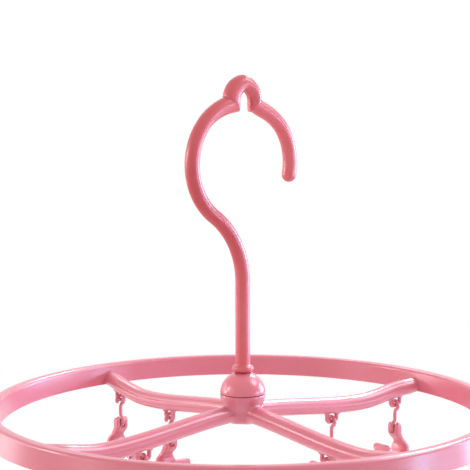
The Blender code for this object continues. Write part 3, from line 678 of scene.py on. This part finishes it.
def levels(top, rib_top):
    """The heights of a half's sections, dense at its teeth, pocket, fulcrum, ribs and rounded top."""
    teeth = [TOOTH_PITCH / 2 - JAW_LENGTH + TOOTH_PITCH * k / 2 for k in range(2 * TOOTH_COUNT + 1)]
    teeth = [t + d for t in teeth for d in (-TOOTH_SOFT, TOOTH_SOFT)]
    pocket = np.linspace(POCKET_BOTTOM, POCKET_TOP, 17)
    nose = [-JAW_LENGTH, -JAW_LENGTH + 0.35, -JAW_LENGTH + NOSE_RUN]
    face = [-FACE_HALF - FACE - CREASE, -FACE_HALF - FACE, -FACE_HALF, -FACE_HALF + CREASE]
    face += [-RIDGE_EDGE, RIDGE_EDGE, FACE_HALF]
    ridge = np.linspace(-RIDGE_REACH, RIDGE_REACH, 23)
    handle = np.linspace(FACE_HALF, top - HANDLE_CORNER, 34)
    tip = [top - HANDLE_CORNER * (1 - math.sin(a)) for a in np.linspace(0, math.pi / 2, 10)]
    found = in_order(teeth, pocket, nose, face, ridge, handle, tip)
    last = rib_top - RIB_INSET
    ribs = np.linspace(last - RIB_COUNT * RIB_PITCH, last, 49)
    return in_order([v for v in found if -JAW_LENGTH <= v <= top], ribs)


def section(side, inner, outer, width, height):
    """The ring of points round one half of a clip at a height."""
    half = width / 2
    radius = min(EDGE_R, (outer - inner) * 0.45, half * 0.8)
    return [(side * x, y, height) for x, y in round_rectangle(inner, outer, -half, half, radius, 4)]


def plate(name, half_x, low, high, half_y, corner):
    """A block with rounded corners seen from the front, from -half_x to half_x."""
    outline = round_rectangle(-half_y, half_y, low, high, corner, 5)
    return stacked(name, [[(x, y, z) for y, z in outline] for x in (-half_x, half_x)])


def with_window(thing):
    bottom = WINDOW_TOP - WINDOW_HEIGHT
    return cut(thing, plate("window", WINDOW_REACH, bottom, WINDOW_TOP, WINDOW_WIDTH / 2, WINDOW_CORNER))


def with_guides(thing, side, lean):
    """Adds the two ribs on the jaw's outside that keep the band spring from sliding off sideways."""
    for across in (-GUIDE_Y, GUIDE_Y):
        heights = np.linspace(GUIDE_BOTTOM, GUIDE_TOP, 12)
        path = [(side * (outer_face(z, lean) - GUIDE_SUNK), across, z) for z in heights]
        cut(thing, rounded("guide", path, GUIDE_R, 10), "UNION")
    return resharpened(thing, 32)


def lever_shape():
    """The half with the finger lever and the fulcrum's groove."""
    groove_r = RIDGE_R + RUN_GAP
    rings = []
    for height in levels(LEVER_HEIGHT, LEVER_HEIGHT):
        inner = handle_face(height, LEVER_LEAN) if height > FACE_HALF else inner_face(height)
        if abs(height) < groove_r:
            inner = max(inner, math.sqrt(groove_r**2 - height**2))
        outer = outer_face(height, LEVER_LEAN) + ribbed(height, LEVER_HEIGHT)
        rest = LEVER_HEIGHT - height
        if rest < LIP:
            pinch = HANDLE / 2 / math.cos(LEVER_LEAN) * dome(rest, LIP) * 0.8
            inner, outer = inner + pinch, outer - pinch
        rings.append(section(-1, inner, outer, lever_width(height), height))
    return with_guides(with_window(stacked("lever_shape", rings, 32)), -1, LEVER_LEAN)


def neck_faces(height):
    """Offsets of the hanging half's faces, from the handle's top over the neck to the lugs."""
    share = ease(min(1.0, max(0.0, (height - BACK_RIB_TOP) / (NECK_TOP - BACK_RIB_TOP))))
    low_in = handle_face(min(height, BACK_HEIGHT), BACK_LEAN)
    low_out = low_in + HANDLE / math.cos(BACK_LEAN)
    rest = EYE_HEIGHT + LUG_R - height
    if rest < LUG_R:
        half = math.sqrt(max(0.02, LUG_R**2 - (LUG_R - rest) ** 2))
        return EYE_SHIFT - half, EYE_SHIFT + half
    return low_in + (EYE_SHIFT - LUG_R - low_in) * share, low_out + (EYE_SHIFT + LUG_R - low_out) * share


def back_shape():
    """The hanging half, with the fulcrum's ridge, two lugs at its top and the eye bar between them."""
    neck = np.linspace(BACK_HEIGHT - HANDLE_CORNER, EYE_HEIGHT, 26)
    lug = [EYE_HEIGHT + LUG_R * math.sin(a) for a in np.linspace(0, math.pi / 2 * 0.97, 9)]
    rings = []
    for height in in_order(levels(BACK_HEIGHT - HANDLE_CORNER, BACK_RIB_TOP), neck, lug):
        if height > FACE_HALF:
            inner = handle_face(height, BACK_LEAN)
            outer = inner + HANDLE / math.cos(BACK_LEAN)
            if height > BACK_RIB_TOP:
                inner, outer = neck_faces(height)
            outer += ribbed(height, BACK_RIB_TOP)
        else:
            inner, outer = inner_face(height), outer_face(height, BACK_LEAN)
        if abs(height) < RIDGE_R:
            bulge = math.sqrt(RIDGE_R**2 - height**2)
            inner = FACE - (FACE + bulge) * min(1.0, bulge / FACE)
        rings.append(section(1, inner, outer, back_width(height), height))
    thing = with_window(stacked("back_shape", rings, 32))
    slot_bottom = EYE_HEIGHT - (EYE_BAR_R + RUN_GAP + WIRE_R) - WIRE_R - RUN_GAP
    slot_top = EYE_HEIGHT + LUG_R + 2 * OVERRUN
    cut(thing, plate("eye_slot", SLOT_REACH, slot_bottom, slot_top, SLOT_HALF, WINDOW_CORNER))
    bar_path = [(EYE_SHIFT, y, EYE_HEIGHT) for y in (-EYE_BAR_HALF, -1.0, 1.0, EYE_BAR_HALF)]
    cut(thing, swept("bar", bar_path, [EYE_BAR_R] * len(bar_path), 20), "UNION")
    return with_guides(thing, 1, BACK_LEAN)


def band_line():
    """The band spring's middle line, from one flared end over the loop to the other."""
    grip_x = JAW_GAP / 2 + JAW_ROOT + SEAT_GAP + BAND_THICK / 2
    foot = -GRIP_DROP - GRIP_LENGTH
    right = [
        (grip_x + FLARE, foot - 2 * FLARE), (grip_x + FLARE / 4, foot - FLARE / 2), (grip_x, foot + FLARE),
        (grip_x, -GRIP_DROP + FLARE), ((grip_x + LOOP_R) / 2, -GRIP_DROP / 2),
        *arc((0, LOOP_Z), LOOP_R, math.radians(-15), math.pi / 2, 9),
    ]
    line = np.array(right + [(-x, z) for x, z in reversed(right[:-1])])
    dense = []
    for i in range(len(line) - 1):
        p0, p1, p2, p3 = (line[min(max(i + d, 0), len(line) - 1)] for d in (-1, 0, 1, 2))
        for share in (0, 0.25, 0.5, 0.75):
            dense.append(0.5 * (2 * p1 + (p2 - p0) * share + (2 * p0 - 5 * p1 + 4 * p2 - p3) * share**2
                                + (3 * p1 - p0 - 3 * p2 + p3) * share**3))
    dense.append(line[-1])
    return np.array(dense)


def band_shape(name, place):
    line = band_line()
    half, thick = BAND_WIDTH / 2, BAND_THICK / 2
    outline = round_rectangle(-half, half, -thick, thick, BAND_EDGE_R, 2)
    rings = []
    for i, (x, z) in enumerate(line):
        run = line[min(i + 1, len(line) - 1)] - line[max(i - 1, 0)]
        run = run / np.linalg.norm(run)
        ring = [(float(x - run[1] * n), y, float(z + run[0] * n)) for y, n in outline]
        rings.append([place @ Vector(point) for point in ring])
    return stacked(name, rings)


# Materials: a noise pattern is its scale, detail, roughness and distortion

CLOUDS = (34, 2, 0.5)
STREAKS = (110, 4, 0.6, 0.4)
SPECKS = (900, 2, 0.6)
RUBBED = (50, 2, 0.5)
WEAR = (45, 3, 0.55)
PEEL = (520, 2, 0.5)
WAVES = (75, 2, 0.4)
HAIRS = (((1, 8, 4), (90, 1, 0.5)), ((7, 1, 5), (80, 1, 0.5)))
GRAIN = (2600, 3, 0.6)
STAIN = (110, 4, 0.6)
CLOTH = (6, 4, 0.6)
# where the painted shade on the hook's lower loop is centred
SHADED_BEND_PLACE = (-0.02, 0, -0.05)
SEAM_HALF = 0.00018


def nodes_of(name):
    surface = bpy.data.materials.new(name)
    surface.use_nodes = True
    tree = surface.node_tree
    return surface, tree, tree.nodes["Principled BSDF"]


def object_place(tree):
    return tree.nodes.new("ShaderNodeTexCoord").outputs["Object"]


def set_inputs(node, values):
    for name, value in values.items():
        node.inputs[name].default_value = value


def link(tree, out, socket):
    tree.links.new(out, socket)


def noise(tree, vector, scale, detail, rough, distortion=0.0):
    node = tree.nodes.new("ShaderNodeTexNoise")
    set_inputs(node, {"Scale": scale, "Detail": detail, "Roughness": rough, "Distortion": distortion})
    link(tree, vector, node.inputs["Vector"])
    return node.outputs["Fac"]


def ranged(tree, value, low_in, high_in, low, high):
    node = tree.nodes.new("ShaderNodeMapRange")
    set_inputs(node, {"From Min": low_in, "From Max": high_in, "To Min": low, "To Max": high})
    link(tree, value, node.inputs["Value"])
    return node.outputs["Result"]


def mixed(tree, share, first, second):
    """A colour mix by an output. Each of first and second is a colour or an output."""
    node = tree.nodes.new("ShaderNodeMix")
    node.data_type = "RGBA"
    link(tree, share, node.inputs[0])
    for socket, value in ((node.inputs[6], first), (node.inputs[7], second)):
        if isinstance(value, tuple):
            socket.default_value = (*value, 1.0)
        else:
            link(tree, value, socket)
    return node.outputs[2]


def stretched(tree, vector, scale):
    node = tree.nodes.new("ShaderNodeMapping")
    node.inputs["Scale"].default_value = scale
    link(tree, vector, node.inputs["Vector"])
    return node.outputs["Vector"]


def maths(tree, operation, first, second=0):
    node = tree.nodes.new("ShaderNodeMath")
    node.operation = operation
    for socket, value in ((node.inputs[0], first), (node.inputs[1], second)):
        if isinstance(value, (float, int)):
            socket.default_value = value
        else:
            link(tree, value, socket)
    return node.outputs[0]


def distance_from(tree, vector, place):
    node = tree.nodes.new("ShaderNodeVectorMath")
    node.operation = "DISTANCE"
    link(tree, vector, node.inputs[0])
    node.inputs[1].default_value = place
    return node.outputs["Value"]


def bumped(tree, shader, height, strength, depth):
    bump = tree.nodes.new("ShaderNodeBump")
    set_inputs(bump, {"Strength": strength, "Distance": depth})
    link(tree, height, bump.inputs["Height"])
    link(tree, bump.outputs["Normal"], shader.inputs["Normal"])


def plastic(name, colour, deep, pale, gloss=0.24, coat=0.35, bend=None):
    """Moulded plastic: cloudy, faintly streaked and finely scratched, with paler worn edges."""
    surface, tree, shader = nodes_of(name)
    coordinates = object_place(tree)
    base = mixed(tree, ranged(tree, noise(tree, coordinates, *CLOUDS), 0.3, 0.7, 0, 1), deep, colour)
    base = mixed(tree, ranged(tree, noise(tree, coordinates, *STREAKS), 0.45, 0.8, 0, 0.1), base, pale)
    base = mixed(tree, ranged(tree, noise(tree, coordinates, *SPECKS), 0.5, 0.8, 0, 0.07), base, pale)
    edges = tree.nodes.new("ShaderNodeNewGeometry").outputs["Pointiness"]
    base = mixed(tree, ranged(tree, edges, 0.52, 0.62, 0, 0.3), base, pale)
    # concave creases are darkened towards the deep colour: painted shade
    base = mixed(tree, ranged(tree, edges, 0.48, 0.4, 0, 0.45), base, tuple(c * 0.72 for c in deep))
    # only the hook's plastic gets painted shade round its bend, darker where its lower loop is less lit,
    # and only it shows the mould's seam
    if bend:
        near = ranged(tree, distance_from(tree, coordinates, SHADED_BEND_PLACE), 0.015, 0.05, 0.95, 0)
        base = mixed(tree, near, base, bend)
    link(tree, base, shader.inputs["Base Color"])

    hairs = []
    for stretch, pattern in HAIRS:
        level = noise(tree, stretched(tree, coordinates, stretch), *pattern)
        away = maths(tree, "ABSOLUTE", maths(tree, "SUBTRACT", level, 0.5))
        hairs.append(ranged(tree, away, 0, 0.012, 1, 0))
    rubbed = ranged(tree, noise(tree, coordinates, *RUBBED), 0.52, 0.64, 0, 1)
    scratches = maths(tree, "MULTIPLY", maths(tree, "MAXIMUM", *hairs), rubbed)
    worn = ranged(tree, noise(tree, coordinates, *WEAR), 0.3, 0.7, 0.6, 0.42)
    dulled = maths(tree, "SUBTRACT", worn, maths(tree, "MULTIPLY", scratches, 0.14))
    link(tree, dulled, shader.inputs["Specular IOR Level"])

    peel = maths(tree, "MULTIPLY", noise(tree, coordinates, *PEEL), 0.1)
    height = maths(tree, "ADD", peel, noise(tree, coordinates, *WAVES))
    height = maths(tree, "SUBTRACT", height, maths(tree, "MULTIPLY", scratches, 0.015))
    if bend:
        place = tree.nodes.new("ShaderNodeSeparateXYZ")
        link(tree, coordinates, place.inputs[0])
        away = maths(tree, "ABSOLUTE", place.outputs["Y"])
        height = maths(tree, "ADD", height, ranged(tree, away, 0.00007, SEAM_HALF, 0.14, 0))
    bumped(tree, shader, height, 0.14, 0.0005)
    set_inputs(shader, {
        "Roughness": gloss, "IOR": 1.5, "Coat Weight": coat, "Coat Roughness": 0.2,
        "Subsurface Weight": 0.15, "Subsurface Radius": (1.0, 0.35, 0.3), "Subsurface Scale": 0.0025,
    })
    return surface


def steel(name):
    """Bright rolled strip: grain along the band, uneven gloss and a little tarnish."""
    surface, tree, shader = nodes_of(name)
    coordinates = object_place(tree)
    grain = noise(tree, stretched(tree, coordinates, (1, 1, 0.08)), *GRAIN)
    stain = noise(tree, coordinates, *STAIN)
    base = mixed(tree, ranged(tree, stain, 0.45, 0.7, 0, 1), (0.52, 0.53, 0.55), (0.36, 0.365, 0.38))
    base = mixed(tree, ranged(tree, grain, 0.3, 0.7, 0, 0.35), base, (0.68, 0.69, 0.7))
    link(tree, base, shader.inputs["Base Color"])
    link(tree, ranged(tree, stain, 0.3, 0.7, 0.2, 0.4), shader.inputs["Roughness"])
    bumped(tree, shader, grain, 0.25, 0.0001)
    shader.inputs["Metallic"].default_value = 1.0
    return surface


# the hook's bend colour is painted shade, darker where its lower loop is less lit
HOOK_PINK = plastic(
    "hook_plastic", (0.59, 0.094, 0.108), (0.55, 0.08, 0.092), (0.65, 0.17, 0.19), 0.3, 0.25,
    bend=(0.47, 0.038, 0.048))
CAP_PINK = plastic(
    "cap_plastic", (0.68, 0.165, 0.205), (0.63, 0.14, 0.175), (0.76, 0.28, 0.32))
FRAME_PINK = plastic(
    "frame_plastic", (0.615, 0.147, 0.192), (0.585, 0.134, 0.178), (0.68, 0.22, 0.275), 0.27, 0.5)
LINK_PINK = plastic(
    "link_plastic", (0.63, 0.15, 0.19), (0.58, 0.12, 0.155), (0.72, 0.27, 0.32), 0.3)
BACK_PINK = plastic(
    "clip_back_plastic", (0.64, 0.145, 0.185), (0.585, 0.115, 0.15), (0.74, 0.28, 0.33), 0.28)
LEVER_PINK = plastic(
    "clip_lever_plastic", (0.66, 0.165, 0.21), (0.605, 0.13, 0.17), (0.76, 0.3, 0.35), 0.28)
STEEL = steel("spring_steel_surface")


# The pieces

def dress(thing, surface, body, node):
    thing.data.materials.clear()
    thing.data.materials.append(surface)
    if body:
        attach(thing, body)
    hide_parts(node)


dress(hook(), HOOK_PINK, "hook", "hook")
dress(hub_cap(), CAP_PINK, "rack", "hub_cap")
dress(rim(), FRAME_PINK, "rack", "frame")
dress(arms(), FRAME_PINK, "rack", "frame")
dress(bails(), FRAME_PINK, "rack", "frame")

link_model, back_model, lever_model = link_shape(), back_shape(), lever_shape()
for tag, (angle, radius) in enumerate(clip_places(), start=1):
    turn = Matrix.Rotation(angle, 4, "Z")
    bar = turn @ bar_point(radius)
    to_link = Matrix.Translation(bar * MM) @ turn
    fulcrum = bar + turn @ Vector((-EYE_SHIFT, 0, -LINK_LENGTH - EYE_HEIGHT))
    to_clip = Matrix.Translation(fulcrum * MM) @ turn
    for name, model, place, surface, body, slot in (
        ("link_wire", link_model, to_link, LINK_PINK, "link", "link"),
        ("clip_back_shell", back_model, to_clip, BACK_PINK, "clip", "clip_back"),
        ("clip_lever_shell", lever_model, to_clip, LEVER_PINK, "lever", "clip_lever"),
    ):
        copy = bpy.data.objects.new(f"{name}_{tag}", model.data)
        scene.collection.objects.link(copy)
        copy.matrix_world = place
        dress(copy, surface, f"{body}_{tag}", f"{slot}_{tag}")
    band = band_shape(f"band_{tag}", Matrix.Translation(fulcrum) @ turn)
    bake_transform(band)
    dress(band, STEEL, None, f"clip_spring_{tag}")
for model in (link_model, back_model, lever_model):
    bpy.data.objects.remove(model)


# Camera and lamps: places are right, forward and up in metres, as seen from the camera

FOCAL_PIXELS, FRAME_PIXELS, SENSOR = 1350, 470, 36
VIEW_AZIMUTH = math.radians(51.5)
VIEW_DISTANCE, VIEW_HEIGHT = 0.6735, -0.00026
VIEW_YAW, VIEW_PITCH, VIEW_ROLL = math.radians(0.319), math.radians(-5.33), math.radians(-0.15)
AHEAD = Vector((math.cos(VIEW_AZIMUTH), math.sin(VIEW_AZIMUTH), 0))
ASIDE = Vector((math.sin(VIEW_AZIMUTH), -math.cos(VIEW_AZIMUTH), 0))

# Each lamp's name, place, width and height, watts, colour, aim and spread in degrees
MIDDLE, WIDE = (0, 0, -0.12), 180
LAMPS = (
    ("left_near", (-0.8, -0.07, 0.13), (0.2, 0.2), 1.3, (1, 1, 1), MIDDLE, WIDE),
    ("left_tall", (-0.8, -0.4, -0.05), (0.3, 0.8), 0.7, (0.9, 0.97, 1.0), MIDDLE, WIDE),
    ("left_far", (-0.85, 0.32, -0.05), (0.3, 0.6), 1.2, (0.96, 0.95, 1.0), MIDDLE, WIDE),
    ("right_high", (0.62, 0.07, 0.47), (0.45, 0.35), 3.6, (0.82, 0.86, 1.0), MIDDLE, WIDE),
    ("right_low", (0.83, 0.37, -0.09), (0.48, 0.6), 7.6, (0.5, 0.71, 1.0), MIDDLE, WIDE),
    ("right_near", (0.83, -0.18, -0.14), (0.4, 0.24), 1.0, (0.5, 0.72, 1.0), MIDDLE, WIDE),
    ("right_far", (0.66, 0.55, -0.1), (0.25, 0.5), 0.1, (0.2, 0.65, 1.0), (-0.118, 0.03, -0.152), 14),
    ("right_side", (0.85, -0.16, -0.14), (0.3, 0.3), 0.034, (0.2, 0.65, 1.0), (-0.105, 0.06, -0.152), 14),
    ("left_side", (-0.82, 0.22, -0.1), (0.25, 0.4), 0.045, (1, 0.8, 0.85), (0.115, 0.04, -0.152), 14),
    ("right_arm", (0.36, 0.6, 0.42), (0.4, 0.2), 0.26, (0.78, 0.9, 1.0), (0.078, 0.062, -0.15), 24),
    ("left_arm", (-0.25, 0.6, 0.42), (0.5, 0.2), 0.045, (0.78, 0.9, 1.0), (-0.062, 0.078, -0.15), 24),
)


def placed(name, data, place, turn):
    thing = bpy.data.objects.new(name, data)
    scene.collection.objects.link(thing)
    thing.location = place
    thing.rotation_mode = "QUATERNION"
    thing.rotation_quaternion = turn
    return thing


def camera():
    data = bpy.data.cameras.new("camera")
    data.sensor_width = SENSOR
    data.lens = FOCAL_PIXELS / FRAME_PIXELS * SENSOR
    yaw, level = VIEW_AZIMUTH + VIEW_YAW, math.cos(VIEW_PITCH)
    aim = Vector((math.cos(yaw) * level, math.sin(yaw) * level, math.sin(VIEW_PITCH)))
    place = -VIEW_DISTANCE * AHEAD + Vector((0, 0, VIEW_HEIGHT))
    turn = aim.to_track_quat("-Z", "Y") @ Quaternion((0, 0, 1), VIEW_ROLL)
    scene.camera = placed("camera", data, place, turn)


def lamp(name, place, size, watts, tint, aim, spread):
    data = bpy.data.lights.new(name, "AREA")
    data.shape = "RECTANGLE"
    data.size, data.size_y = size
    data.energy = watts
    data.color = tint
    data.spread = math.radians(spread)
    place, target = (ASIDE * p[0] + AHEAD * p[1] + Vector((0, 0, p[2])) for p in (place, aim))
    placed(name, data, place, (target - place).to_track_quat("-Z", "Y"))


# The white backdrop and the floor

def seen_plainly(tree):
    """1 for the rays that see the backdrop as it is, and 0 for those that light the object."""
    path = tree.nodes.new("ShaderNodeLightPath")
    seen = maths(tree, "MAXIMUM", path.outputs["Is Camera Ray"], path.outputs["Is Transmission Ray"])
    return maths(tree, "MAXIMUM", seen, path.outputs["Is Glossy Ray"])


def shader_mix(tree, share, first, second, out):
    mix = tree.nodes.new("ShaderNodeMixShader")
    for source, socket in ((share, mix.inputs[0]), (first, mix.inputs[1]), (second, mix.inputs[2])):
        link(tree, source, socket)
    link(tree, mix.outputs[0], out.inputs[0])


def glowing(tree, kind, colour, strength):
    node = tree.nodes.new(kind)
    set_inputs(node, {"Color": (*colour, 1), "Strength": strength})
    return node.outputs[0]


def backdrop():
    world = bpy.data.worlds.new("studio")
    scene.world = world
    world.use_nodes = True
    tree = world.node_tree
    tree.nodes.clear()
    light = glowing(tree, "ShaderNodeBackground", (1.0, 0.99, 0.985), 0.83)
    shown = glowing(tree, "ShaderNodeBackground", (1, 1, 1), 1.0)
    shader_mix(tree, seen_plainly(tree), light, shown, tree.nodes.new("ShaderNodeOutputWorld"))


def floor():
    """White cloth that keeps the object's shadow and fades into the backdrop further out."""
    half = FLOOR_HALF
    corners = [(x, y, FLOOR_Z) for x, y in ((-half, -half), (half, -half), (half, half), (-half, half))]
    thing = made("floor", corners, [[0, 1, 2, 3]])
    surface, tree, shader = nodes_of("floor_paint")
    coordinates = object_place(tree)
    cloth = noise(tree, coordinates, *CLOTH)
    link(tree, mixed(tree, cloth, (0.92, 0.92, 0.925), (0.955, 0.955, 0.955)), shader.inputs["Base Color"])
    shader.inputs["Roughness"].default_value = 0.9
    share = ranged(tree, distance_from(tree, coordinates, (0, 0, 0)), 0.36, 1.1, 0.75, 1.0)
    share = maths(tree, "MULTIPLY", seen_plainly(tree), share)
    glow = glowing(tree, "ShaderNodeEmission", (1, 1, 1), 1.0)
    shader_mix(tree, share, shader.outputs[0], glow, tree.nodes["Material Output"])
    thing.data.materials.append(surface)


camera()
for settings in LAMPS:
    lamp(*settings)
backdrop()
floor()
scene.view_settings.view_transform = "Standard"
